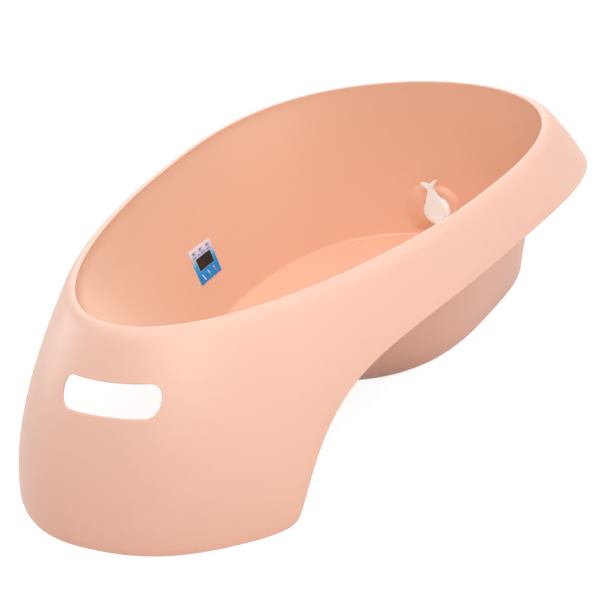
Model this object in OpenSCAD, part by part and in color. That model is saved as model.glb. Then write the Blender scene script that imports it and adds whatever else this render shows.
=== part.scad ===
// Baby bathtub: one thin moulding with a basin, a rim and a skirt that
// reaches the ground at the head end, plus plug, seal, label and feet.
// Millimetres, +Z up, +X towards the drain end, origin on the ground
// under the middle of the outline.

/* [Rim] */
// Half length of the rim opening
rim_hl = 383; // [350:1:400]
// Half width of the rim opening at its middle
rim_hw = 202.5; // [190:0.5:212]
// Height of the rim at the middle of the tub
rim_h = 195.5; // [185:0.5:210]
// Rise of the rim from the middle to the drain end
rim_rise = 14.5; // [8:0.5:20]
// Width of the flat land along the rim
land = 10; // [8:0.5:12]

/* [Skirt] */
// Half length of the ground outline of the skirt
base_hl = 501; // [480:1:520]
// Half width of the ground outline of the skirt
base_hw = 244; // [232:1:256]
// Height of the arch under the sides
arch_h = 122; // [105:1:130]
// Rise of the lower edge towards the drain end
edge_rise = 10; // [4:0.5:16]
// Extra width of the ground outline where the arch begins
bulge = 4.2; // [0:0.1:6]
// Wall thickness of the moulding
wall = 2.6; // [2.4:0.1:3.2]

/* [Basin] */
// Half length of the flat floor
floor_hl = 231; // [215:1:236]
// Half width of the flat floor
floor_hw = 158; // [145:1:162]
// Height of the inside floor above the ground
floor_z = 7; // [6.5:0.5:8]
// Radius between floor and wall
fillet = 5; // [4:0.5:12]

/* [Hand slot] */
// Width of the hand slot
slot_w = 106; // [80:1:112]
// Height of the hand slot
slot_h = 27; // [22:1:32]
// Height of the slot centre above the ground
slot_z = 132.5; // [126:0.5:138]

/* [Drain] */
// Diameter of the drain bore
drain_d = 24; // [20:0.5:26]
// Diameter of the raised round pad about the drain
pad_d = 58; // [52:1:62]
// Height of the drain axis above the ground
drain_z = 46; // [42:0.5:50]
// Sideways position of the drain
drain_y = -5; // [-8:0.5:8]

/* [Plug] */
// Diameter of the plug disc
disc_d = 38; // [32:0.5:44]
// Turn of the plug about its own axis
plug_turn = -12; // [-30:1:30]
// Section diameter of the sealing ring
seal_d = 2.6; // [2:0.1:3]

/* [Label] */
// Length of the temperature label
label_w = 59; // [45:1:64]
// Height of the temperature label
label_h = 44; // [34:1:48]
// Position of the label along the tub
label_x = 40; // [10:1:70]

/* [Feet] */
// Diameter of each round foot pad
foot_d = 26; // [20:1:32]
// Spacing of the foot pads along the tub
foot_span = 240; // [180:5:280]

/* [Hidden] */

// Positions along the tub, before it is centred on its outline
floor_x = 139;
base_x = 28;
bottom_z = 4;

// Angles are measured from the head end, 0 to 180 on one side.
side = concat(
  [for (i = [0 : 8]) i * 36 / 9],
  [for (i = [0 : 17]) 36 + i * 20 / 18],
  [for (i = [0 : 30]) 56 + i * 4]);
ANG = concat(side, [180], [for (i = [len(side) - 1 : -1 : 1]) 360 - side[i]]);
NA = len(ANG);

function spw(v, p) = sign(v) * pow(abs(v), p);
function mix(a, b, k) = a * (1 - k) + b * k;
function fold(a) = a > 180 ? 360 - a : a;
function ease(k) = let (s = min(1, max(0, k))) s * s * (3 - 2 * s);

// An egg outline: half length, half width, powers and width terms
function egg(a, xc, hl, hw, p, q, k1, k2) = let (c = -cos(a), s = sin(a))
  [xc + hl * spw(c, p), hw * spw(s, q) * (1 + k1 * c + k2 * c * c)];

function rim_xy(a, w) = egg(a, 0, rim_hl + w, rim_hw + w, 0.912, 1, 0.293, 0.131);
function rim_top(a) = let (k = spw(-cos(a), 0.912))
  rim_h + rim_rise * k + 7 * k * k + 2 * k * k * k;
function base_xy(a, w) = let (d = w + bulge * exp(-pow((fold(a) - 38.5) / 9, 2)))
  egg(a, base_x, base_hl + d, base_hw + d, 0.797, 0.857, 0.266, 0.196);
function floor_xy(a, w, n) = egg(a, floor_x, floor_hl + w, floor_hw + w, 2 / n, 2 / n, 0, 0);

// Height of the lower edge of the skirt: ground, steep arch, long edge
function edge_z(a) = let (b = fold(a), r = b - 40.95)
  arch_h * (1 - exp(-max(0, 0.53 * (r + sqrt(r * r + 1.44)) - 0.06) / 8.9))
    + edge_rise * ease((b - 57) / 52);
function drop_end(a) = 1 - edge_z(a) / rim_top(a);

// Skirt surface at a share u of the full drop to the ground
function skirt_pt(a, u, w) = let (
    g = 1 - pow(1 - u, 1.79),
    p = mix(rim_xy(a, land + w), base_xy(a, w), g))
  [p[0], p[1], rim_top(a) * (1 - u)];
edge_u = 0.046;
function skirt_at(a, s, w) = skirt_pt(a, edge_u + s * (drop_end(a) - edge_u), w);
mid_x = (skirt_at(0, 0.986, 0)[0] + skirt_at(180, 0.986, 0)[0]) / 2;

function rim_pt(a, w, dz) = let (p = rim_xy(a, w)) [p[0], p[1], rim_top(a) + dz];

// Curve from the flat land over into the skirt
function round_pt(a, s) = rim_pt(a, land - 7, 0) * pow(1 - s, 2)
  + rim_pt(a, land, 0) * 2 * s * (1 - s) + skirt_pt(a, edge_u, 0) * s * s;

// Basin wall from the rim (k = 0) to the floor (k = 1), pushed out by w
function power_n(w) = 2.45 + 0.22 * w;
function bottom(w) = w > 0 ? bottom_z : floor_z;
function wall_pt(a, k, w) = let (
    p = mix(rim_xy(a, w - 1.2), floor_xy(a, w, power_n(w)), k))
  [p[0], p[1], mix(rim_top(a) - 4, bottom(w), k)];

// Rounded corner between wall and floor, larger at the head end
function bend_r(a, w) = (fillet - w * 0.8) * (1 + 1.6 * pow((1 + cos(a)) / 2, 2));
function bend_k(a, w) = 1 - bend_r(a, w) / (rim_top(a) - 4 - bottom(w));
function corner_pt(a, s, w) = let (
    p0 = wall_pt(a, bend_k(a, w), w),
    p1 = wall_pt(a, 1, w),
    f = floor_xy(a, w - bend_r(a, w), power_n(w)),
    p2 = [f[0], f[1], p1[2]])
  p0 * pow(1 - s, 2) + p1 * 2 * s * (1 - s) + p2 * s * s;

module tub_body() {
  rings = concat(
    [for (i = [5 : -1 : 0]) [for (a = ANG) corner_pt(a, i / 5, 0)]],
    [for (i = [4 : -1 : 0]) [for (a = ANG) wall_pt(a, i / 5 * bend_k(a, 0), 0)]],
    [for (e = [[-1.1, -1.4], [-0.7, -0.4], [0.4, 0]]) [for (a = ANG) rim_pt(a, e[0], e[1])]],
    [for (i = [0 : 4]) [for (a = ANG) round_pt(a, i / 4)]],
    [for (s = [0.07, 0.17, 0.3, 0.44, 0.58, 0.72, 0.86]) [for (a = ANG) skirt_at(a, s, 0)]],
    [for (e = [[0.986, 0], [0.998, -0.6], [1, -wall / 2], [0.998, 0.6 - wall], [0.986, -wall]])
      [for (a = ANG) skirt_at(a, e[0], e[1])]],
    [for (s = [0.86, 0.72, 0.58, 0.44, 0.3, 0.15]) [for (a = ANG) skirt_at(a, s, -wall)]],
    [[for (a = ANG) skirt_pt(a, 4 / rim_top(a), -wall)]],
    [for (i = [0 : 3]) [for (a = ANG) wall_pt(a, i / 4 * bend_k(a, wall), wall)]],
    [for (i = [0 : 4]) [for (a = ANG) corner_pt(a, i / 4, wall)]]);
  nr = len(rings);
  pts = [for (r = rings) for (p = r) [p[0] - mid_x, p[1], p[2]]];
  quads = [for (j = [0 : nr - 2]) for (i = [0 : NA - 1]) let (k = (i + 1) % NA)
    [j * NA + i, (j + 1) * NA + i, (j + 1) * NA + k, j * NA + k]];
  faces = concat(
    [for (q = quads) [q[0], q[1], q[2]]],
    [for (q = quads) [q[0], q[2], q[3]]],
    [[for (i = [0 : NA - 1]) i]],
    [[for (i = [NA - 1 : -1 : 0]) (nr - 1) * NA + i]]);
  polyhedron(pts, faces);
}

// Faces of the drain pad, inside and outside the basin
pad_in = 363;
pad_out = 375;

module along_x(x0, x1, d) {
  translate([x0, 0, 0])
    rotate([0, 90, 0])
      cylinder(h = x1 - x0, d = d, $fn = 96);
}

module slot_outline() {
  r = slot_h * 0.44;
  square([slot_w - 2 * r, slot_h], center = true);
  square([slot_w, slot_h - 2 * r], center = true);
  for (y = [-1, 1], z = [-1, 1])
    translate([y * (slot_w / 2 - r), z * (slot_h / 2 - r)])
      circle(r, $fn = 48);
}

module tub_shell() {
  color("lightsalmon")
    difference() {
      union() {
        tub_body();
        translate([0, drain_y, drain_z]) {
          along_x(pad_in, pad_out, pad_d);
          along_x(pad_out - 1, pad_out + 13, drain_d + 8);
        }
      }
      translate([-490, 0, slot_z])
        rotate([90, 0, 90])
          linear_extrude(90)
            slot_outline();
      translate([0, drain_y, drain_z])
        along_x(pad_in - 10, pad_out + 20, drain_d);
      for (x = [-1, 1], y = [-1, 1])
        translate([foot_x + x * foot_span / 2, y * foot_y, 0])
          cylinder(h = bottom_z + 1.4, d = 8.1, $fn = 48);
    }
}

// Plug: disc and hollow stem with a groove for the sealing ring, and a
// whale-shaped grip on the face of the disc.
disc_t = 4;
grip_t = 4;
stem_r = drain_d / 2 - 0.9;
seal_x = 7;

module stem_profile() {
  groove = drain_d / 2 - 0.05 - seal_d;
  polygon([[0, -disc_t], [disc_d / 2 - 1, -disc_t], [disc_d / 2, 1 - disc_t], [disc_d / 2, 0],
    [stem_r, 0], [stem_r, seal_x - seal_d / 2 - 0.1], [groove, seal_x - seal_d / 2 - 0.1],
    [groove, seal_x + seal_d / 2 + 0.1], [stem_r, seal_x + seal_d / 2 + 0.1],
    [stem_r, 14], [stem_r - 1.5, 16], [stem_r - 3.5, 16], [stem_r - 3.5, 2], [0, 2]]);
}

module fluke(m) {
  polygon([[-2, 30], [m * 4.6, 31], [m * 6.5, 35], [m * 10.6, 40.5], [m * 11.2, 42.6],
    [m * 9, 43], [m * 4, 41.4], [m * 1.2, 39.2], [-m, 39.5]]);
}

module whale_outline() {
  circle(14.6, $fn = 96);
  polygon([for (t = [0 : 0.1 : 1]) [-14.2 + 9.6 * pow(t, 1.15), 3.4 + 30 * t],
    for (t = [1 : -0.1 : 0]) [14.2 - 9.6 * pow(t, 1.15), 3.4 + 30 * t]]);
  fluke(1);
  fluke(-1);
}

module whale_plug() {
  color("antiquewhite")
    translate([pad_in - 0.1, drain_y, drain_z]) {
      rotate([0, 90, 0])
        rotate_extrude($fn = 96)
          stem_profile();
      rotate([plug_turn, 0, 0]) {
        translate([-disc_t - grip_t, 0, 0])
          rotate([90, 0, 90])
            linear_extrude(grip_t + 0.5)
              whale_outline();
        translate([-disc_t - grip_t - 1, 0, -18])
          rotate([90, 0, 90])
            linear_extrude(3)
              translate([-6, -6])
                square([12, 16]);
      }
    }
}

module plug_seal() {
  color("dimgray")
    translate([pad_in - 0.1 + seal_x, drain_y, drain_z])
      rotate([0, 90, 0])
        rotate_extrude($fn = 96)
          translate([drain_d / 2 - 0.05 - seal_d / 2, 0])
            circle(d = seal_d, $fn = 32);
}

// Thin sheets that lie on the inside of the wall. The angle on the wall
// that belongs to a place x, z is found by halving.
function wall_share(a, z) = (rim_top(a) - 4 - z) / (rim_top(a) - 4 - floor_z);
function find_a(x, z, lo, hi, n) = let (m = (lo + hi) / 2)
  n == 0 ? m : wall_pt(m, wall_share(m, z), 0)[0] - mid_x > x ?
    find_a(x, z, lo, m, n - 1) : find_a(x, z, m, hi, n - 1);
function on_wall(x, z) = let (a = find_a(x, z, 60, 130, 14), p = wall_pt(a, wall_share(a, z), 0))
  [p[0] - mid_x, p[1], p[2]];
tilt = 3;
label_z = 78.5;
slope = 0.96;
inward = [0.1, -0.955, 0.28];

module wall_sheet(w, h, dz, near, far) {
  nx = 10;
  nz = 5;
  function place(i, j, d) = let (
      s = (i / nx - 0.5) * w, t = ((j / nz - 0.5) * h + dz) * slope)
    on_wall(label_x + s * cos(tilt) + t * -sin(tilt),
      label_z + t * cos(tilt) - s * sin(tilt) * 0.5) + inward * d;
  m = (nx + 1) * (nz + 1);
  function id(i, j) = j * (nx + 1) + i;
  pts = [for (d = [near, far]) for (j = [0 : nz]) for (i = [0 : nx]) place(i, j, d)];
  cells = [for (j = [0 : nz - 1]) for (i = [0 : nx - 1]) [i, j]];
  edge = concat([for (i = [0 : nx - 1]) id(i, 0)], [for (j = [0 : nz - 1]) id(nx, j)],
    [for (i = [nx : -1 : 1]) id(i, nz)], [for (j = [nz : -1 : 1]) id(0, j)]);
  ne = len(edge);
  polyhedron(pts, concat(
    [for (c = cells) [id(c[0], c[1]), id(c[0] + 1, c[1]), id(c[0] + 1, c[1] + 1)]],
    [for (c = cells) [id(c[0], c[1]), id(c[0] + 1, c[1] + 1), id(c[0], c[1] + 1)]],
    [for (c = cells) [m + id(c[0] + 1, c[1] + 1), m + id(c[0] + 1, c[1]), m + id(c[0], c[1])]],
    [for (c = cells) [m + id(c[0], c[1] + 1), m + id(c[0] + 1, c[1] + 1), m + id(c[0], c[1])]],
    [for (e = [0 : ne - 1]) let (f = (e + 1) % ne) [edge[f], edge[e], m + edge[e]]],
    [for (e = [0 : ne - 1]) let (f = (e + 1) % ne) [edge[f], m + edge[e], m + edge[f]]]));
}

module thermo_label() {
  color("deepskyblue")
    wall_sheet(label_w, label_h, 0, 0.15, 0.95);
}

module lcd_window() {
  color("black")
    wall_sheet(label_w * 0.68, label_h * 0.35, label_h * 0.03, 1.02, 1.4);
}

// Round feet under the floor, each with a peg in a blind hole
foot_x = 139;
foot_y = 80;

module foot(x, y) {
  color("gray")
    translate([foot_x + x * foot_span / 2, y * foot_y, 0])
      rotate_extrude($fn = 64)
        polygon([[0, 0], [foot_d / 2 - 1.2, 0], [foot_d / 2, 1.2], [foot_d / 2, bottom_z],
          [4, bottom_z], [4, bottom_z + 1.2], [0, bottom_z + 1.2]]);
}

module foot_head_left() {
  foot(-1, 1);
}

module foot_head_right() {
  foot(-1, -1);
}

module foot_drain_left() {
  foot(1, 1);
}

module foot_drain_right() {
  foot(1, -1);
}

tub_shell();
whale_plug();
plug_seal();
thermo_label();
lcd_window();
foot_head_left();
foot_head_right();
foot_drain_left();
foot_drain_right();
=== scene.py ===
import math

import bmesh
import bpy
import numpy as np
from mathutils import Matrix, Vector


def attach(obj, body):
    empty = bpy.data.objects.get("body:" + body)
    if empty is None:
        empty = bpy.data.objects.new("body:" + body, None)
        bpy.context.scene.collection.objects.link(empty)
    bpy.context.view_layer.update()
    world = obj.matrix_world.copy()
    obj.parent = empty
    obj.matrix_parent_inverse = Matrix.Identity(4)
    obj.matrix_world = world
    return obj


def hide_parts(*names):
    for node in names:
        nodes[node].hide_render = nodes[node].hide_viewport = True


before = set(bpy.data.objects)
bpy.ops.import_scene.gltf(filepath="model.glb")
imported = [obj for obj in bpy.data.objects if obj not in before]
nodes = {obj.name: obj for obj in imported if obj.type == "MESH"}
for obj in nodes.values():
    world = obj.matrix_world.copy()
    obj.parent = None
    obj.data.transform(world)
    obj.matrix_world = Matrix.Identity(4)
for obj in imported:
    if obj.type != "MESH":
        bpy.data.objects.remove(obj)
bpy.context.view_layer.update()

MM = 0.001

# ---------------------------------------------------------------- named sizes, in millimetres
# Rim: half length, half width, height, rise towards the drain end, width of the flat land
RIM_HL, RIM_HW, RIM_H, RIM_RISE, LAND = 383.0, 202.5, 195.5, 14.5, 10.0
# Outline on the ground: half length, half width, place along the tub
BASE_HL, BASE_HW, BASE_X = 501.0, 244.0, 28.0
# Skirt: arch height, rise of its lower edge, wall thickness, extra width where the arch begins
ARCH_H, EDGE_RISE, WALL, BULGE = 122.0, 10.0, 2.6, 4.2
# Share of the skirt's drop at which the rim's rounding runs into it
EDGE_U = 0.046
# Basin floor: half length, half width, place, inside height, underside height, corner radius
FLOOR_HL, FLOOR_HW, FLOOR_X, FLOOR_Z, BOTTOM_Z, FILLET = 231.0, 158.0, 139.0, 7.0, 4.0, 3.6
# The basin wall starts this far below the rim's top and this far in from it
WALL_DROP, WALL_INSET = 4.0, 1.2
# Hand slot: width, height, height of its centre, corner radius as a share of its height, lip
SLOT_W, SLOT_H, SLOT_Z, SLOT_ROUND, LIP = 106.0, 27.0, 132.5, 0.44, 1.1
# Drain: bore, raised pad, place across and up
DRAIN_D, PAD_D, DRAIN_Y, DRAIN_Z = 24.0, 58.0, -5.0, 46.0
# Pad face, root and end of the outlet along the tub, and the outlet's diameter
PAD_IN, NOZZLE_ROOT, NOZZLE_OUT, NOZZLE_D = 363.0, 379.0, 388.0, 32.0
# Plug: disc diameter and thickness, turn about its axis, and the sealing ring's section and place
DISC_D, DISC_T, PLUG_TURN, SEAL_D, SEAL_X = 38.0, 4.0, -12.0, 2.6, 7.0
# Whale: body radius, thickness of the grip, rounding of its front edge, and the tab below it
WHALE_R, GRIP, SOFT_EDGE, TAB_W, TAB_H = 14.4, 2.6, 0.6, 12.0, 16.0
# Label: width, height, place, tilt in degrees and foreshortening up the sloping wall
LABEL_W, LABEL_H, LABEL_X, LABEL_Z, TILT, SLOPE = 59.0, 44.0, 40.0, 78.5, 3.0, 0.96
# Direction from the wall behind the label into the basin
INWARD = np.array([0.1, -0.955, 0.28])
# Feet: centre and spacing, and the pegs' holes
FOOT_X, FOOT_Y, FOOT_SPAN, PEG_D, PEG_DEPTH = 139.0, 80.0, 240.0, 8.1, 1.4
# The shell is drawn a touch smaller across than the CAD solid, so that it stays inside it
SNUG = 0.9998


# ---------------------------------------------------------------- the moulding's surfaces
def spw(v, p):
    return np.sign(v) * np.abs(v) ** p


def mix(a, b, k):
    return a * (1 - k) + b * k


def ease(k):
    s = np.clip(k, 0, 1)
    return s * s * (3 - 2 * s)


def egg(a, xc, hl, hw, p, q, k1, k2):
    c, s = -np.cos(a), np.sin(a)
    return xc + hl * spw(c, p), hw * spw(s, q) * (1 + k1 * c + k2 * c * c)


def rim_xy(a, w):
    return egg(a, 0.0, RIM_HL + w, RIM_HW + w, 0.912, 1.0, 0.293, 0.131)


def rim_top(a):
    k = spw(-np.cos(a), 0.912)
    return RIM_H + RIM_RISE * k + 7 * k**2 + 2 * k**3


def folded(a):
    return np.degrees(np.abs((a + math.pi) % (2 * math.pi) - math.pi))


def base_xy(a, w):
    d = w + BULGE * np.exp(-((folded(a) - 38.5) / 9) ** 2)
    return egg(a, BASE_X, BASE_HL + d, BASE_HW + d, 0.797, 0.857, 0.266, 0.196)


def floor_xy(a, w, n):
    return egg(a, FLOOR_X, FLOOR_HL + w, FLOOR_HW + w, 2 / n, 2 / n, 0.0, 0.0)


def edge_z(a):
    b = folded(a)
    r = b - 40.95
    e = np.maximum(0, 0.53 * (r + np.sqrt(r * r + 1.44)) - 0.06)
    return ARCH_H * (1 - np.exp(-e / 8.9)) + EDGE_RISE * ease((b - 57) / 52)


def drop_end(a):
    return 1 - edge_z(a) / rim_top(a)


def stack(x, y, z):
    return np.stack(np.broadcast_arrays(x, y, z), axis=-1)


def skirt(a, u, w):
    g = 1 - np.maximum(1 - u, 0) ** 1.79
    p, q = rim_xy(a, LAND + w), base_xy(a, w)
    return stack(mix(p[0], q[0], g), mix(p[1], q[1], g), rim_top(a) * (1 - u))


def land(a, w, dz=0.0):
    x, y = rim_xy(a, w)
    return stack(x, y, rim_top(a) + dz)


def lowest(w):
    """Height of the flat under the basin wall, for the inside or the outside face."""
    return BOTTOM_Z if w > 0 else FLOOR_Z


def wall_line(a, k, w):
    p, q = rim_xy(a, w - WALL_INSET), floor_xy(a, w, 2.45 + 0.22 * w)
    return stack(mix(p[0], q[0], k), mix(p[1], q[1], k), mix(rim_top(a) - WALL_DROP, lowest(w), k))


def wall_share(a, z):
    """Share of the inside wall's drop that lies above a height."""
    return (rim_top(a) - WALL_DROP - z) / (rim_top(a) - WALL_DROP - FLOOR_Z)


def bend_radius(a, w):
    return (FILLET - w * 0.8) * (1 + 1.6 * ((1 + np.cos(a)) / 2) ** 2)


def bend_start(a, w):
    return 1 - bend_radius(a, w) / (rim_top(a) - WALL_DROP - lowest(w))


def basin(a, t, w):
    """Wall for t 0 to 1, then the rounded corner into the floor for t 1 to 2."""
    k = np.minimum(t, 1) * bend_start(a, w)
    s = np.clip(t - 1, 0, 1)[..., None]
    p0 = wall_line(a, k, w)
    p1 = wall_line(a, np.ones_like(a), w)
    fx, fy = floor_xy(a, w - bend_radius(a, w), 2.45 + 0.22 * w)
    p2 = stack(fx, fy, p1[..., 2])
    return p0 * (1 - s) ** 2 + p1 * 2 * s * (1 - s) + p2 * s * s


def even_angles(n):
    """Angles once round from the head end, evenly spaced along the moulding.

    The length along the skirt and its lower edge counts most, so they are close-set
    where the lower edge climbs."""
    a = np.linspace(0, math.pi, 40001)
    mid, low = skirt(a, np.full_like(a, 0.3), 0.0), skirt(a, drop_end(a), 0.0)
    rim = land(a, 0.0)
    length = np.zeros_like(a)
    for path, share in ((mid, 0.4), (low, 0.4), (rim, 0.2)):
        length[1:] += share * np.cumsum(np.linalg.norm(np.diff(path, axis=0), axis=1))
    half = np.interp(np.linspace(0, length[-1], n // 2 + 1), length, a)
    return np.concatenate([half, 2 * math.pi - half[-2:0:-1]])


def skirt_at(a, s, w):
    return skirt(a, EDGE_U + s * (drop_end(a) - EDGE_U), w)


# The tub is centred on the skirt's two ends, near its lower edge
END_S = 0.986
HEAD_END, DRAIN_END = (skirt_at(np.full(1, a), END_S, 0.0)[0, 0] for a in (0.0, math.pi))
MID_X = float(HEAD_END + DRAIN_END) / 2


def find_on(surface, y, z, a, t):
    """Newton steps to the parameters of a surface at a given y and z."""
    a, t = a.copy(), t.copy()
    for _ in range(14):
        p = surface(a, t)
        da, dt = surface(a + 1e-5, t), surface(a, t + 1e-5)
        j11, j12 = (da[:, 1] - p[:, 1]) / 1e-5, (dt[:, 1] - p[:, 1]) / 1e-5
        j21, j22 = (da[:, 2] - p[:, 2]) / 1e-5, (dt[:, 2] - p[:, 2]) / 1e-5
        ey, ez = y - p[:, 1], z - p[:, 2]
        det = j11 * j22 - j12 * j21
        a += np.clip((ey * j22 - ez * j12) / det, -0.05, 0.05)
        t += np.clip((ez * j11 - ey * j21) / det, -0.05, 0.05)
    return a, t


class Shell:
    """Gathers vertices and faces, with a material index per face."""

    def __init__(self):
        self.points, self.faces, self.mats, self.count = [], [], [], 0

    def add(self, pts):
        self.points.append(np.asarray(pts, float))
        self.count += len(pts)
        return np.arange(self.count - len(pts), self.count)

    def join(self, ring_a, ring_b, mat, skip=None):
        n = len(ring_a)
        for i in range(n):
            if skip and i in skip:
                continue
            k = (i + 1) % n
            self.faces.append((int(ring_a[i]), int(ring_a[k]), int(ring_b[k]), int(ring_b[i])))
            self.mats.append(mat)

    def fan(self, ring, centre, mat):
        c = self.add([centre])[0]
        n = len(ring)
        for i in range(n):
            self.faces.append((int(ring[i]), int(ring[(i + 1) % n]), int(c)))
            self.mats.append(mat)

    def mesh(self, name, shift=0.0, snug=1.0):
        pts = (np.concatenate(self.points) - np.array([shift, 0, 0])) * np.array([snug, snug, 1.0]) * MM
        me = bpy.data.meshes.new(name)
        me.from_pydata(pts.tolist(), [], self.faces)
        me.polygons.foreach_set("material_index", self.mats)
        return me


def outline(corners, half_w, half_h, r, counts):
    """Points and outward normals of a closed rounded outline, one run per side.

    Corners are sign pairs, and each run goes from corner to corner."""
    pts, nrm = [], []
    for (ca, cb), n in zip(zip(corners, corners[1:] + corners[:1]), counts):
        ca, cb = np.array(ca, float), np.array(cb, float)
        side = (ca + cb) / 2
        centre_a, centre_b = ca * [half_w - r, half_h - r], cb * [half_w - r, half_h - r]
        straight = np.linalg.norm(centre_b - centre_a)
        arc = math.pi * r / 4
        for i in range(n):
            s = (2 * arc + straight) * i / n
            if s < arc:
                d, c = corner_turn(ca, side, s / r), centre_a
            elif s > arc + straight:
                turn = (2 * arc + straight - s) / r
                d, c = corner_turn(cb, side, turn), centre_b
            else:
                d, c = side, mix(centre_a, centre_b, (s - arc) / max(straight, 1e-9))
            pts.append(c + r * d)
            nrm.append(d)
    return np.array(pts), np.array(nrm)


def corner_turn(corner, side, turn):
    """The unit direction turned from a corner's diagonal towards a side's normal by an angle."""
    mid = corner / math.sqrt(2)
    across = side - mid * float(side @ mid)
    across /= np.linalg.norm(across)
    return mid * math.cos(turn) + across * math.sin(turn)


N = 520
A = even_angles(N)
N = len(A)
shell = Shell()
OUT, IN = 0, 1
rows = {}


def row(name, pts):
    rows[name] = shell.add(pts)
    return rows[name]


# floor, corner and wall on the inside
CORNER_STEPS, WALL_STEPS = 8, 20
order = []
edge_of_floor = basin(A, np.full(N, 2.0), 0.0)
floor_mid = np.array([FLOOR_X, 0.0, FLOOR_Z])
FLOOR_RINGS = (0.1, 0.25, 0.4, 0.55, 0.7, 0.83, 0.93, 0.98)
for f in FLOOR_RINGS:
    order.append((row(f"floor{f}", mix(floor_mid, edge_of_floor, f)), IN))
basin_t = [1 + i / CORNER_STEPS for i in range(CORNER_STEPS, -1, -1)]
basin_t += [i / WALL_STEPS for i in range(WALL_STEPS - 1, -1, -1)]
for t in basin_t:
    order.append((row(f"in{t:.4f}", basin(A, np.full(N, t), 0.0)), IN))

# inner edge of the rim, the flat land and its outer edge
order.append((row("brow", land(A, -1.17, -2.6)), IN))
for i in range(8):
    s = i / 7
    w = -1.15 * (1 - s) ** 2 - 1.1 * 2 * s * (1 - s) + 0.35 * s * s
    order.append((row(f"lip{i}", land(A, w, -1.5 * (1 - s) ** 2)), IN if i < 2 else OUT))
p0, p1, p2 = land(A, 1.0), land(A, LAND - 0.6), skirt(A, np.full(N, EDGE_U), 0.0)
for i in range(10):
    s = i / 10
    order.append((row(f"edge{i}", p0 * (1 - s) ** 2 + p1 * 2 * s * (1 - s) + p2 * s * s), OUT))

# skirt outside, its rounded lower edge, and the skirt inside
SKIRT_STEPS = 34
HALF = WALL / 2
end_u = drop_end(A)
round_u = HALF / rim_top(A)
skirt_s = [i / SKIRT_STEPS for i in range(SKIRT_STEPS + 1)]


def skirt_u(a, s):
    return EDGE_U + (drop_end(a) - HALF / rim_top(a) - EDGE_U) * s


for s in skirt_s:
    order.append((row(f"out{s:.4f}", skirt(A, skirt_u(A, s), 0.0)), OUT))
for i in range(1, 8):
    f = math.pi * i / 8
    p = skirt(A, end_u - round_u * (1 - math.sin(f)), -HALF)
    q = skirt(A, end_u - round_u * (1 - math.sin(f)), 0.0)
    order.append((row(f"hem{i}", p + (q - p) * math.cos(f)), OUT))
for s in reversed(skirt_s[1:]):
    order.append((row(f"back{s:.4f}", skirt(A, skirt_u(A, s), -WALL)), OUT))
order.append((row("under", skirt(A, 4 / rim_top(A), -WALL)), OUT))
for t in reversed(basin_t):
    order.append((row(f"shell{t:.4f}", basin(A, np.full(N, t), WALL)), OUT))


class Window:
    """A rectangle of the grid that is left open and filled by rings about a round or rounded opening."""

    def __init__(self, prefix, params, columns, centre, mat):
        self.names = [f"{prefix}{p:.4f}" for p in params]
        self.params, self.mat = params, mat
        self.i0, self.i1 = columns
        self.centre = np.array(centre)

    def border(self):
        """Indices, angles and row parameters round the rectangle, and its corners as sign pairs."""
        cols = [i % N for i in range(self.i0, self.i1 + 1)]
        first, last = rows[self.names[0]], rows[self.names[-1]]
        idx = [first[c] for c in cols[:-1]] + [rows[n][cols[-1]] for n in self.names[:-1]]
        idx += [last[c] for c in cols[:0:-1]] + [rows[n][cols[0]] for n in self.names[:0:-1]]
        ang = [A[c] for c in cols[:-1]] + [A[cols[-1]]] * (len(self.names) - 1)
        ang += [A[c] for c in cols[:0:-1]] + [A[cols[0]]] * (len(self.names) - 1)
        ang = np.array(ang)
        if self.i0 < 0:
            ang = np.where(ang > math.pi, ang - 2 * math.pi, ang)
        par = [self.params[0]] * (len(cols) - 1) + list(self.params[:-1])
        par += [self.params[-1]] * (len(cols) - 1) + list(self.params[:0:-1])
        pts = np.concatenate(shell.points)
        nc, nr = len(cols) - 1, len(self.names) - 1
        at = [pts[idx[k]][1:] - self.centre for k in (0, nc, nc + nr, 2 * nc + nr)]
        signs = [tuple(np.sign(p).astype(int)) for p in at]
        return np.array(idx), ang, np.array(par), signs, (nc, nr, nc, nr)

    def open_columns(self, upper, lower):
        """Columns whose quads are left out in the band between two rows."""
        if upper in self.names and lower in self.names:
            return {i % N for i in range(self.i0, self.i1)}
        return set()


def columns_within(y_half, centre_y, around):
    """First and last column of an opening of this half width, about angle 0 or 180 degrees."""
    if around == 0:
        i = 1
        while abs(skirt(A[i:i + 1], np.array([0.3]), 0.0)[0, 1]) < y_half:
            i += 1
        return -i, i
    mid = N // 2
    lo, hi = mid, mid
    while basin(A[lo:lo + 1], np.array([0.8]), 0.0)[0, 1] < centre_y + y_half:
        lo -= 1
    while basin(A[hi:hi + 1], np.array([0.8]), 0.0)[0, 1] > centre_y - y_half:
        hi += 1
    return lo, hi


# Half widths of the openings left in the grid about the slot and the pad
SLOT_REACH, PAD_REACH = 66, 58
slot_rows = [s for s in skirt_s if 0.125 < s < 0.44]
slot_columns = columns_within(SLOT_REACH, 0, 0)
slot_out = Window("out", slot_rows, slot_columns, (0, SLOT_Z), OUT)
slot_in = Window("back", slot_rows, slot_columns, (0, SLOT_Z), OUT)
pad_rows = [t for t in reversed(basin_t) if 0.44 < t < 1.41]
pad_columns = columns_within(PAD_REACH, DRAIN_Y, 180)
pad_win = Window("in", pad_rows, pad_columns, (DRAIN_Y, DRAIN_Z), IN)
nozzle_win = Window("shell", pad_rows, pad_columns, (DRAIN_Y, DRAIN_Z), OUT)
windows = (slot_out, slot_in, pad_win, nozzle_win)

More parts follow.
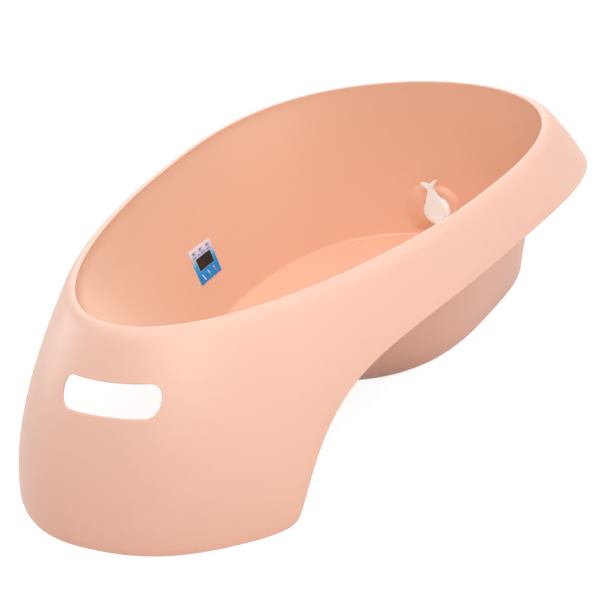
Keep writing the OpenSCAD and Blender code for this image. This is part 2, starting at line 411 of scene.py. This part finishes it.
name_of = {int(ring[0]): name for name, ring in rows.items()}
for (ring_a, _), (ring_b, mat) in zip(order, order[1:]):
    upper, lower = name_of[int(ring_a[0])], name_of[int(ring_b[0])]
    skip = set().union(*(win.open_columns(upper, lower) for win in windows))
    shell.join(ring_a, ring_b, mat, skip)
shell.fan(order[0][0], floor_mid, IN)


def skirt_by_s(w):
    return lambda a, s: skirt(a, skirt_u(a, s), w)


def basin_by_t(w):
    return lambda a, t: basin(a, t, w)


def grow_to(win, surface, pts, nrm, offsets, steps):
    """Rings on a surface from the window's border in to the outline, at the offsets given.

    Returns the last ring and its places."""
    idx, ang, par, _, _ = win.border()
    target = pts + nrm * np.broadcast_to(offsets[0], len(pts))[:, None]
    a, t = find_on(surface, target[:, 0], target[:, 1], ang, par)
    last = idx
    for i in range(1, steps):
        k = ease(i / steps) * 0.35 + (i / steps) * 0.65
        ring = shell.add(surface(mix(ang, a, k), mix(par, t, k)))
        shell.join(last, ring, win.mat)
        last = ring
    for off in offsets:
        target = pts + nrm * np.broadcast_to(off, len(pts))[:, None]
        a, t = find_on(surface, target[:, 0], target[:, 1], a, t)
        place = surface(a, t)
        ring = shell.add(place)
        shell.join(last, ring, win.mat)
        last = ring
    return last, place


# hand slot: rounded lips on both faces of the thin wall
corners, counts = slot_out.border()[3:]
pts, nrm = outline(corners, SLOT_W / 2, SLOT_H / 2, SLOT_H * SLOT_ROUND, counts)
pts = pts + [0, SLOT_Z]
ends = []
for win, w in ((slot_out, 0.0), (slot_in, -WALL)):
    surface = skirt_by_s(w)
    last, place = grow_to(win, surface, pts, nrm, (5.0, 3.0, 2.0, LIP), 6)
    a, t = find_on(surface, pts[:, 0], pts[:, 1], *find_on(
        surface, (pts + nrm * LIP)[:, 0], (pts + nrm * LIP)[:, 1], win.border()[1], win.border()[2]))
    face = surface(a, t)[:, 0]
    way = 1 if w == 0.0 else -1
    for i in range(1, 7):
        f = math.pi / 2 * i / 6
        at = pts + nrm * LIP * (1 - math.sin(f))
        x = mix(place[:, 0], face, math.sin(f)) + way * LIP * (1 - math.cos(f))
        ring = shell.add(stack(x, at[:, 0], at[:, 1]))
        shell.join(last, ring, OUT)
        last = ring
    ends.append(last)
shell.join(ends[0], ends[1], OUT)

# drain: raised round pad inside, bore, and the short outlet outside
corners, counts = pad_win.border()[3:]
circle, _ = outline(corners, 1.0, 1.0, 1.0, counts)
mid_yz = np.array([DRAIN_Y, DRAIN_Z])


def circle_ring(radius, x):
    at = mid_yz + circle * np.broadcast_to(radius, len(circle))[:, None]
    return shell.add(stack(np.broadcast_to(x, len(at)), at[:, 0], at[:, 1]))


def chain(last, steps, mat):
    for radius, x in steps:
        ring = circle_ring(radius, x)
        shell.join(last, ring, mat)
        last = ring
    return last


PAD_R, BORE_R = PAD_D / 2, DRAIN_D / 2
# The pad's edge is crisp towards the upper right, seen from inside, and melts into the wall elsewhere
CRISP_TURN = math.radians(38)
CRISP = np.array([-math.cos(CRISP_TURN), math.sin(CRISP_TURN)])
melt = ease((0.62 - circle @ CRISP) / 1.1)
room = (DRAIN_Z - 14) / np.maximum(-circle[:, 1], 0.3) - PAD_R
foot, brow = np.minimum(1.8 + 18.0 * melt, room), 1.5 + 7.0 * melt
last, place = grow_to(pad_win, basin_by_t(0.0), mid_yz + circle * PAD_R, circle, (foot + 1.5, foot), 9)
wall_x, face_x = place[:, 0], PAD_IN + MID_X
steps = []
for i in range(1, 15):
    s = i / 14
    steps.append((PAD_R + foot - (foot + brow) * s, mix(wall_x, face_x, ease(s))))
steps += [(np.minimum(22.0, PAD_R - brow - 0.6), face_x), (17.0, face_x), (BORE_R + 1.0, face_x)]
steps += [(BORE_R + 0.3, face_x + 0.15), (BORE_R, face_x + 0.7)]
last = chain(last, steps, IN)
end_x = NOZZLE_OUT + MID_X
steps = [(BORE_R, end_x - 8), (BORE_R, end_x - 0.6), (BORE_R + 0.6, end_x), (NOZZLE_D / 2 - 0.8, end_x)]
steps += [(NOZZLE_D / 2 - 0.2, end_x - 0.3), (NOZZLE_D / 2, end_x - 1), (NOZZLE_D / 2, NOZZLE_ROOT + MID_X)]
last = chain(last, steps, OUT)
edge, place = grow_to(nozzle_win, basin_by_t(WALL), mid_yz + circle * NOZZLE_D / 2, circle, (4.0, 1.5), 8)
ring = circle_ring(NOZZLE_D / 2 + 0.4, place[:, 0] + 0.4)
shell.join(edge, ring, OUT)
shell.join(ring, last, OUT)

me = shell.mesh("tub_moulding", MID_X, SNUG)
bm = bmesh.new()
bm.from_mesh(me)

# underside: flat, with the four blind holes for the feet
bm.verts.ensure_lookup_table()
rim_ring = order[-1][0]
loop = [bm.verts[int(i)] for i in rim_ring]
edges = [bm.edges.get((loop[i], loop[(i + 1) % len(loop)])) for i in range(len(loop))]
for sx in (-1, 1):
    for sy in (-1, 1):
        cx, cy = FOOT_X + sx * FOOT_SPAN / 2, sy * FOOT_Y
        low, high = [], []
        for i in range(32):
            f = 2 * math.pi * i / 32
            x, y = (cx + PEG_D / 2 * math.cos(f)) * MM, (cy + PEG_D / 2 * math.sin(f)) * MM
            low.append(bm.verts.new((x, y, BOTTOM_Z * MM)))
            high.append(bm.verts.new((x, y, (BOTTOM_Z + PEG_DEPTH) * MM)))
        for i in range(32):
            k = (i + 1) % 32
            bm.faces.new((low[i], low[k], high[k], high[i]))
            edges.append(bm.edges.get((low[i], low[k])))
        bm.faces.new(high)
bmesh.ops.triangle_fill(bm, edges=edges, use_beauty=True, normal=(0, 0, -1))
bmesh.ops.recalc_face_normals(bm, faces=bm.faces)
for f in bm.faces:
    f.smooth = True
bm.to_mesh(me)
bm.free()
tub = bpy.data.objects.new("tub_moulding", me)
bpy.context.scene.collection.objects.link(tub)


# ---------------------------------------------------------------- whale plug
def lathe(profile, segments=144):
    """A closed solid about the X axis from (x, radius) pairs; the first and last lie on the axis."""
    part = Shell()
    last = None
    first_x, last_x = profile[0][0], profile[-1][0]
    turn = np.linspace(0, 2 * math.pi, segments, endpoint=False)
    for x, r in profile[1:-1]:
        ring = part.add(stack(np.full(segments, x), r * np.cos(turn), r * np.sin(turn)))
        if last is None:
            part.fan(ring, (first_x, 0, 0), 0)
        else:
            part.join(last, ring, 0)
        last = ring
    part.fan(last, (last_x, 0, 0), 0)
    return part


def smooth_loop(points, per):
    """A closed Catmull-Rom curve through the points."""
    p = np.array(points, float)
    n = len(p)
    out = []
    for i in range(n):
        a, b, c, d = p[i - 1], p[i], p[(i + 1) % n], p[(i + 2) % n]
        for j in range(per):
            t = j / per
            out.append(0.5 * (2 * b + (c - a) * t + (2 * a - 5 * b + 4 * c - d) * t * t
                              + (3 * b - 3 * c + d - a) * t**3))
    return np.array(out)


def puffed(loop, x_back, x_front, edge):
    """A slab in the YZ plane with a rounded front edge; its front faces -X."""
    part = Shell()
    nxt, prv = np.roll(loop, -1, axis=0), np.roll(loop, 1, axis=0)
    tan = nxt - prv
    nrm = np.stack([tan[:, 1], -tan[:, 0]], 1)
    nrm /= np.linalg.norm(nrm, axis=1)[:, None]
    area = 0.5 * np.sum(loop[:, 0] * nxt[:, 1] - nxt[:, 0] * loop[:, 1])
    if area < 0:
        nrm = -nrm
    back = part.add(stack(np.full(len(loop), x_back), loop[:, 0], loop[:, 1]))
    last = back
    for i in range(7):
        f = math.pi / 2 * i / 6
        at = loop - nrm * edge * (1 - math.cos(f))
        ring = part.add(stack(np.full(len(loop), x_front + edge * (1 - math.sin(f))), at[:, 0], at[:, 1]))
        part.join(last, ring, 0)
        last = ring
    for cap in (last, back[::-1]):
        part.faces.append(tuple(int(i) for i in cap))
        part.mats.append(0)
    return part


PLUG_X = PAD_IN - 0.1
DISC_R = DISC_D / 2
STEM_R = DRAIN_D / 2 - 0.9
GROOVE = DRAIN_D / 2 - 0.05 - SEAL_D
DISC_EDGE = 1.4
profile = [(-DISC_T, 0.0), (-DISC_T, DISC_R - 3.0)]
for i in range(7):
    f = math.pi / 2 * i / 6
    profile.append((-DISC_T + DISC_EDGE * (1 - math.cos(f)), DISC_R - DISC_EDGE * (1 - math.sin(f))))
profile += [(-0.4, DISC_R), (-0.1, DISC_R - 0.1), (0, DISC_R - 0.4), (0, STEM_R + 0.3), (0.3, STEM_R)]
profile += [(SEAL_X - SEAL_D / 2 - 0.1, STEM_R), (SEAL_X - SEAL_D / 2 - 0.1, GROOVE)]
profile += [(SEAL_X + SEAL_D / 2 + 0.1, GROOVE), (SEAL_X + SEAL_D / 2 + 0.1, STEM_R)]
profile += [(14, STEM_R), (15.2, STEM_R - 0.5), (16, STEM_R - 1.5)]
profile += [(16, STEM_R - 3.2), (15.7, STEM_R - 3.5)]
profile += [(2.4, STEM_R - 3.5), (2, STEM_R - 3.9), (2, 0.0)]
stem = lathe(profile)

whale_side = [(13.1, 7.6), (11.7, 13.5), (9.3, 20.0), (6.3, 26.0), (4.2, 30.6), (4.6, 33.6)]
fluke = [(7.4, 36.2), (11.0, 40.6), (11.2, 42.6), (8.6, 42.6), (4.6, 41.0), (1.6, 39.4)]
right = whale_side + fluke
belly = [math.radians(b) for b in range(-110, 111, 10)]
arc = [(WHALE_R * math.sin(b), -WHALE_R * math.cos(b)) for b in belly]
loop = arc + right + [(0.0, 39.0)] + [(-y, z) for y, z in reversed(right)]
whale = puffed(smooth_loop(loop, 6), -DISC_T + 1.0, -DISC_T - GRIP, SOFT_EDGE)
tab_loop, _ = outline([(1, 1), (-1, 1), (-1, -1), (1, -1)], TAB_W / 2, TAB_H / 2, 2.0, (14, 18, 14, 18))
tab = puffed(tab_loop + [0, -16.0], -DISC_T + 1.0, -DISC_T - GRIP - 0.7, SOFT_EDGE)


def solid(part, name, turn=0.0):
    """An object made from a shell, turned about the plug's axis and set in the drain."""
    m = part.mesh(name)
    b = bmesh.new()
    b.from_mesh(m)
    bmesh.ops.recalc_face_normals(b, faces=b.faces)
    bmesh.ops.rotate(b, cent=(0, 0, 0), matrix=Matrix.Rotation(math.radians(turn), 3, "X"), verts=b.verts)
    bmesh.ops.translate(b, vec=(PLUG_X * MM, DRAIN_Y * MM, DRAIN_Z * MM), verts=b.verts)
    b.to_mesh(m)
    b.free()
    ob = bpy.data.objects.new(name, m)
    bpy.context.scene.collection.objects.link(ob)
    return ob


def fuse(target, others):
    """Boolean union of separate solids into one clean mesh."""
    for o in others:
        mod = target.modifiers.new("union", "BOOLEAN")
        mod.operation, mod.solver, mod.object = "UNION", "EXACT", o
    dg = bpy.context.evaluated_depsgraph_get()
    m = bpy.data.meshes.new_from_object(target.evaluated_get(dg))
    target.modifiers.clear()
    target.data = m
    for o in others:
        bpy.data.objects.remove(o)


plug = solid(stem, "whale_grip_plug")
fuse(plug, [solid(whale, "whale_part", PLUG_TURN), solid(tab, "tab_part", PLUG_TURN)])
plug.data.shade_smooth()
angle_mod = plug.modifiers.new("by_angle", "EDGE_SPLIT")
angle_mod.split_angle = math.radians(38)


# ---------------------------------------------------------------- label on the inside wall
def on_wall(x, z):
    """Points of the inner wall at given places along the tub and heights, by halving."""
    lo, hi = np.full(x.shape, math.radians(60)), np.full(x.shape, math.radians(130))
    for _ in range(40):
        m = (lo + hi) / 2
        past = wall_line(m, wall_share(m, z), 0.0)[..., 0] - MID_X > x
        hi, lo = np.where(past, m, hi), np.where(past, lo, m)
    m = (lo + hi) / 2
    p = wall_line(m, wall_share(m, z), 0.0)
    p[..., 0] -= MID_X
    return p


def film(name, w, h, dz, near, far, r, nx=48, nz=36):
    """A thin film with rounded corners that follows the wall, with UVs over its face."""
    bm = bmesh.new()
    uv = bm.loops.layers.uv.new("UVMap")
    u, v = np.meshgrid(np.linspace(-0.5, 0.5, nx + 1), np.linspace(-0.5, 0.5, nz + 1))
    su, sv = u * w, v * h
    # pull the grid's corners in so that the outline gets small radii
    cx, cz = np.maximum(np.abs(su) - (w / 2 - r), 0), np.maximum(np.abs(sv) - (h / 2 - r), 0)
    both = (cx > 0) & (cz > 0)
    d = np.hypot(cx, cz)
    f = np.where(both & (d > 0), np.maximum(cx, cz) / np.maximum(d, 1e-9), 1.0)
    su = np.where(both, np.sign(su) * (w / 2 - r + cx * f), su)
    sv = np.where(both, np.sign(sv) * (h / 2 - r + cz * f), sv)
    s, t = su, (sv + dz) * SLOPE
    c, n = math.cos(math.radians(TILT)), math.sin(math.radians(TILT))
    base = on_wall(LABEL_X + s * c - t * n, LABEL_Z + t * c - s * n * 0.5)
    layers = []
    for d in (near, far):
        pts = (base + INWARD * d) * MM
        layers.append([[bm.verts.new(pts[j, i]) for i in range(nx + 1)] for j in range(nz + 1)])
    uvs = {}
    for j in range(nz + 1):
        for i in range(nx + 1):
            for lay in layers:
                uvs[lay[j][i]] = (su[j, i] / w + 0.5, sv[j, i] / h + 0.5)
    for j in range(nz):
        for i in range(nx):
            a, b, c2, d2 = (j, i), (j, i + 1), (j + 1, i + 1), (j + 1, i)
            bm.faces.new([layers[1][q[0]][q[1]] for q in (a, b, c2, d2)])
            bm.faces.new([layers[0][q[0]][q[1]] for q in (d2, c2, b, a)])
    ring = [(0, i) for i in range(nx)] + [(j, nx) for j in range(nz)]
    ring += [(nz, i) for i in range(nx, 0, -1)] + [(j, 0) for j in range(nz, 0, -1)]
    for q, p in zip(ring, ring[1:] + ring[:1]):
        near_side = layers[0][q[0]][q[1]], layers[0][p[0]][p[1]]
        far_side = layers[1][p[0]][p[1]], layers[1][q[0]][q[1]]
        bm.faces.new(near_side + far_side)
    bmesh.ops.recalc_face_normals(bm, faces=bm.faces)
    for f in bm.faces:
        f.smooth = len(f.verts) == 4 and f.calc_area() > 0
        for lp in f.loops:
            lp[uv].uv = uvs[lp.vert]
    me = bpy.data.meshes.new(name)
    bm.to_mesh(me)
    bm.free()
    ob = bpy.data.objects.new(name, me)
    bpy.context.scene.collection.objects.link(ob)
    mod = ob.modifiers.new("by_angle", "EDGE_SPLIT")
    mod.split_angle = math.radians(40)
    return ob


label = film("bath_label", LABEL_W, LABEL_H, 0.0, 0.15, 0.95, 1.2)
window = film("temperature_window", LABEL_W * 0.68, LABEL_H * 0.35, LABEL_H * 0.03, 1.02, 1.40, 0.4)


# ---------------------------------------------------------------- materials
def srgb(r, g, b):
    def lin(c):
        c /= 255
        return c / 12.92 if c <= 0.04045 else ((c + 0.055) / 1.055) ** 2.4
    return (lin(r), lin(g), lin(b), 1.0)


class Nodes:
    """Short names for building a material's nodes."""

    def __init__(self, name):
        self.mat = bpy.data.materials.new(name)
        self.mat.use_nodes = True
        self.tree = self.mat.node_tree
        self.bsdf = self.tree.nodes["Principled BSDF"]
        self.coord = self.tree.nodes.new("ShaderNodeTexCoord")

    def link(self, a, b):
        self.tree.links.new(a, b)

    def set(self, socket, value):
        if isinstance(value, (int, float, tuple)):
            socket.default_value = value
        else:
            self.link(value, socket)

    def noise(self, scale, detail=3.0):
        n = self.tree.nodes.new("ShaderNodeTexNoise")
        n.inputs["Scale"].default_value = scale
        n.inputs["Detail"].default_value = detail
        n.inputs["Roughness"].default_value = 0.55
        self.link(self.coord.outputs["Object"], n.inputs["Vector"])
        return n.outputs["Fac"]

    def ramp(self, fac, stops):
        r = self.tree.nodes.new("ShaderNodeValToRGB")
        el = r.color_ramp.elements
        while len(el) < len(stops):
            el.new(0.5)
        for e, (pos, col) in zip(el, stops):
            e.position = pos
            e.color = col if isinstance(col, tuple) else (col, col, col, 1.0)
        self.link(fac, r.inputs["Fac"])
        return r.outputs["Color"]

    def math(self, op, a, b=0.0, c=0.0):
        m = self.tree.nodes.new("ShaderNodeMath")
        m.operation = op
        for s, v in zip(m.inputs, (a, b, c)):
            self.set(s, v)
        return m.outputs[0]

    def remap(self, fac, lo, hi, to_lo, to_hi):
        m = self.tree.nodes.new("ShaderNodeMapRange")
        keys = ("Value", "From Min", "From Max", "To Min", "To Max")
        for key, value in zip(keys, (fac, lo, hi, to_lo, to_hi)):
            self.set(m.inputs[key], value)
        return m.outputs["Result"]

    def blend(self, fac, a, b):
        m = self.tree.nodes.new("ShaderNodeMix")
        m.data_type = "RGBA"
        self.set(m.inputs["Factor"], fac)
        self.set(m.inputs[6], a)
        self.set(m.inputs[7], b)
        return m.outputs[2]

    def bump(self, height, strength, distance, normal=None):
        b = self.tree.nodes.new("ShaderNodeBump")
        b.inputs["Strength"].default_value = strength
        b.inputs["Distance"].default_value = distance
        self.link(height, b.inputs["Height"])
        if normal is not None:
            self.link(normal, b.inputs["Normal"])
        return b.outputs["Normal"]

    def use(self, *objects):
        for o in objects:
            o.data.materials.clear()
            o.data.materials.append(self.mat)


def plastic(name, colour, rough, spread, grain, specular=0.5, coat=0.0):
    """Moulded plastic: slightly uneven colour and gloss, a fine surface grain and faint sink marks."""
    n = Nodes(name)
    dark, light = [tuple(c * k for c in colour[:3]) + (1.0,) for k in (0.985, 1.01)]
    n.link(n.ramp(n.noise(5.0, 2.0), [(0.3, dark), (0.7, light)]), n.bsdf.inputs["Base Color"])
    n.link(n.remap(n.noise(9.0, 1.0), 0.3, 0.7, rough - spread, rough + spread), n.bsdf.inputs["Roughness"])
    sink = n.bump(n.noise(5.0, 1.0), 0.06, 0.0008)
    n.link(n.bump(n.noise(260.0, 1.0), grain, 0.00004, sink), n.bsdf.inputs["Normal"])
    n.bsdf.inputs["Specular IOR Level"].default_value = specular
    n.bsdf.inputs["Coat Weight"].default_value = coat
    n.bsdf.inputs["Coat Roughness"].default_value = 0.22
    return n


OUTSIDE = (0.82, 0.525, 0.42, 1.0)
# The inside is the same plastic as the outside, but its colour is drawn darker and more orange: painted
# shade and painted warm bounce light from the basin's own walls. Its lower roughness is its real gloss.
INSIDE_PAINTED_SHADE = (0.82, 0.495, 0.35, 1.0)
satin = plastic("satin_moulding", OUTSIDE, 0.40, 0.02, 0.1, 0.25, 0.05)
gloss = plastic("gloss_moulding_painted_shade", INSIDE_PAINTED_SHADE, 0.33, 0.02, 0.02)
tub.data.materials.append(satin.mat)
tub.data.materials.append(gloss.mat)
cream = plastic("cream_plastic", (0.885, 0.96, 0.98, 1.0), 0.42, 0.03, 0.1)
cream.use(plug)
rubber = plastic("seal_rubber", (0.06, 0.06, 0.06, 1.0), 0.75, 0.06, 0.6, 0.35)
pad_rubber = plastic("foot_rubber", (0.70, 0.55, 0.48, 1.0), 0.7, 0.06, 0.6, 0.35)
rubber.use(nodes["plug_seal"])
for side in ("head_left", "head_right", "drain_left", "drain_right"):
    pad_rubber.use(nodes[f"foot_{side}"])


def printed_label():
    """Printed film: white running to blue, three plain dark shapes over dashes, a pale frame
    and three slanted marks."""
    n = Nodes("printed_film")
    sep = n.tree.nodes.new("ShaderNodeSeparateXYZ")
    n.link(n.coord.outputs["UV"], sep.inputs[0])
    u, v = sep.outputs[0], sep.outputs[1]

    def box(cu, cv, hu, hv, slant=0.0, soft=0.006):
        uu = n.math("SUBTRACT", u, cu)
        vv = n.math("SUBTRACT", v, cv)
        if slant:
            uu = n.math("MULTIPLY_ADD", vv, slant, uu)
        du = n.remap(n.math("ABSOLUTE", uu), hu - soft, hu + soft, 1.0, 0.0)
        dv = n.remap(n.math("ABSOLUTE", vv), hv - soft, hv + soft, 1.0, 0.0)
        return n.math("MULTIPLY", du, dv)

    def either(masks):
        out = masks[0]
        for m in masks[1:]:
            out = n.math("MAXIMUM", out, m)
        return out

    col = n.ramp(v, [(0.0, srgb(0, 138, 216)), (0.24, srgb(0, 144, 222)), (0.52, srgb(40, 170, 234)),
                     (0.76, srgb(206, 210, 238)), (1.0, srgb(240, 234, 246))])
    ink = srgb(58, 60, 92)
    icons = []
    for cu in (0.17, 0.50, 0.83):
        icons += [box(cu - 0.01, 0.885, 0.050, 0.026), box(cu + 0.065, 0.90, 0.014, 0.020)]
        icons += [box(cu + 0.01, 0.838, 0.065, 0.010)]
    col = n.blend(n.math("MULTIPLY", either(icons), 0.8), col, ink)
    dash_places = ((0.16, 0.085), (0.37, 0.055), (0.57, 0.10), (0.82, 0.10))
    dashes = [box(cu, 0.765, hu, 0.017) for cu, hu in dash_places]
    col = n.blend(n.math("MULTIPLY", either(dashes), 0.75), col, ink)
    col = n.blend(n.math("MULTIPLY", box(0.5, 0.53, 0.352, 0.188), 0.8), col, srgb(188, 214, 240))
    marks = [box(cu, 0.155, 0.017, 0.095, 0.35) for cu in (0.22, 0.50, 0.78)]
    col = n.blend(marks[0], col, srgb(236, 244, 250))
    low = n.remap(v, 0.14, 0.17, 1.0, 0.0)
    col = n.blend(marks[1], col, n.blend(low, srgb(226, 240, 244), srgb(96, 170, 96)))
    low = n.remap(v, 0.19, 0.22, 1.0, 0.0)
    col = n.blend(marks[2], col, n.blend(low, srgb(236, 226, 236), srgb(214, 82, 112)))
    specks = n.remap(n.noise(1200.0, 2.0), 0.3, 0.7, 0.0, 0.05)
    n.link(n.blend(specks, col, (0.02, 0.02, 0.03, 1.0)), n.bsdf.inputs["Base Color"])
    n.link(n.remap(n.noise(60.0), 0.3, 0.7, 0.34, 0.44), n.bsdf.inputs["Roughness"])
    n.link(n.bump(n.noise(160.0, 2.0), 0.12, 0.00005), n.bsdf.inputs["Normal"])
    n.bsdf.inputs["Specular IOR Level"].default_value = 0.12
    return n


def crystal_window():
    """Dark liquid-crystal film with faint upright cells and a smooth, fairly shiny face."""
    n = Nodes("crystal_film")
    sep = n.tree.nodes.new("ShaderNodeSeparateXYZ")
    n.link(n.coord.outputs["UV"], sep.inputs[0])
    cell = n.math("PINGPONG", n.math("MULTIPLY", sep.outputs[0], 3.0), 0.5)
    line = n.remap(cell, 0.0, 0.03, 1.0, 0.0)
    col = n.ramp(n.noise(90.0), [(0.3, srgb(8, 14, 16)), (0.7, srgb(18, 23, 25))])
    n.link(n.blend(n.math("MULTIPLY", line, 0.5), col, srgb(86, 72, 66)), n.bsdf.inputs["Base Color"])
    n.link(n.remap(n.noise(45.0), 0.3, 0.7, 0.24, 0.34), n.bsdf.inputs["Roughness"])
    n.link(n.bump(n.noise(120.0, 2.0), 0.1, 0.00005), n.bsdf.inputs["Normal"])
    n.bsdf.inputs["Specular IOR Level"].default_value = 0.2
    return n


printed_label().use(label)
crystal_window().use(window)

# ---------------------------------------------------------------- ties to the frame
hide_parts("tub_shell")
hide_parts("whale_plug")
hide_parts("thermo_label")
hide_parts("lcd_window")
for piece, slot in ((tub, "tub"), (label, "label"), (window, "window")):
    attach(piece, "tub")
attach(plug, "plug")

# ---------------------------------------------------------------- floor, light and camera
def ground(name, low, high, glow, drop):
    """A wide plane just under the object, with a slightly uneven shade and an even glow."""
    n = Nodes(name)
    n.link(n.ramp(n.noise(2.0), [(0.3, low), (0.7, high)]), n.bsdf.inputs["Base Color"])
    n.bsdf.inputs["Roughness"].default_value = 0.9
    n.bsdf.inputs["Specular IOR Level"].default_value = 0.0
    n.bsdf.inputs["Emission Color"].default_value = (1.0, 1.0, 1.0, 1.0)
    n.bsdf.inputs["Emission Strength"].default_value = glow
    bm = bmesh.new()
    bmesh.ops.create_grid(bm, x_segments=8, y_segments=8, size=30.0)
    bmesh.ops.translate(bm, vec=(0, 0, -drop), verts=bm.verts)
    mesh = bpy.data.meshes.new(name)
    bm.to_mesh(mesh)
    bm.free()
    plane = bpy.data.objects.new(name, mesh)
    bpy.context.scene.collection.objects.link(plane)
    n.use(plane)
    plane.visible_shadow = False
    return plane


# The floor that is seen glows and gives no bounce light. A second floor that the camera
# doesn't see gives the bounce, and the world doesn't light diffuse surfaces.
FLOOR_GLOW, WORLD_LEVEL = 0.91, 0.92
seen = ground("studio_floor", (0.23, 0.23, 0.23, 1.0), (0.25, 0.25, 0.25, 1.0), FLOOR_GLOW, 0.0006)
seen.visible_diffuse = False
bounce = ground("studio_bounce", (0.87, 0.66, 0.55, 1.0), (0.89, 0.68, 0.57, 1.0), 0.0, 0.0012)
bounce.visible_camera = bounce.visible_glossy = False

world = bpy.data.worlds.new("studio")
bpy.context.scene.world = world
world.use_nodes = True
background = world.node_tree.nodes["Background"]
background.inputs["Color"].default_value = (1.0, 1.0, 1.0, 1.0)
background.inputs["Strength"].default_value = WORLD_LEVEL
if hasattr(world, "cycles_visibility"):
    world.cycles_visibility.diffuse = False


def softbox(name, place, aim, size, watts):
    data = bpy.data.lights.new(name, "AREA")
    data.shape, data.size, data.size_y = "RECTANGLE", size[0], size[1]
    data.energy = watts
    ob = bpy.data.objects.new(name, data)
    ob.location = place
    ob.rotation_euler = (Vector(aim) - Vector(place)).to_track_quat("-Z", "Y").to_euler()
    ob.visible_camera = False
    bpy.context.scene.collection.objects.link(ob)


AIM = (0.0, 0.0, 0.1)
softbox("overhead", (0.0, 0.0, 2.6), AIM, (3.0, 3.0), 40.0)
softbox("camera_side", (-1.7, -0.95, 2.3), AIM, (2.4, 2.0), 50.0)
softbox("left_side", (-1.1, 2.2, 1.1), AIM, (2.0, 1.6), 9.0)
softbox("right_side", (0.9, -2.2, 1.5), AIM, (2.4, 2.0), 26.0)
softbox("far_side", (2.3, 1.25, 0.9), AIM, (2.4, 0.9), 13.0)
softbox("accent", (-1.45, -0.95, 1.62), (-0.385, -0.068, 0.165), (0.6, 0.6), 3.2)
softbox("left_edge", (0.0, 2.2, 0.5), (-0.3, 0.1, 0.1), (1.0, 0.8), 6.5)
softbox("right_edge", (1.5, -1.7, 0.16), (0.2, -0.1, 0.08), (1.2, 0.3), 3.5)

# Camera: direction round and above the tub, roll, distance in metres, the point it looks at, lens
AZ, EL, ROLL = math.radians(-61.506), math.radians(21.423), math.radians(-5.984)
DIST, LENS = 1.7308, 90.0
TARGET = Vector((-0.00928, 0.01813, 0.06104))
back = Vector((math.sin(AZ) * math.cos(EL), -math.cos(AZ) * math.cos(EL), math.sin(EL)))
right0 = Vector((math.cos(AZ), math.sin(AZ), 0))
up0 = back.cross(right0)
right_v = right0 * math.cos(ROLL) + up0 * math.sin(ROLL)
up_v = up0 * math.cos(ROLL) - right0 * math.sin(ROLL)
cam_data = bpy.data.cameras.new("camera")
cam_data.lens, cam_data.sensor_width = LENS, 36.0
cam_data.clip_start, cam_data.clip_end = 0.05, 100.0
cam = bpy.data.objects.new("camera", cam_data)
cam.matrix_world = Matrix((
    (right_v.x, up_v.x, back.x, TARGET.x + back.x * DIST),
    (right_v.y, up_v.y, back.y, TARGET.y + back.y * DIST),
    (right_v.z, up_v.z, back.z, TARGET.z + back.z * DIST),
    (0, 0, 0, 1)))
bpy.context.scene.collection.objects.link(cam)
bpy.context.scene.camera = cam
bpy.context.scene.view_settings.view_transform = "Standard"
bpy.context.scene.view_settings.look = "None"
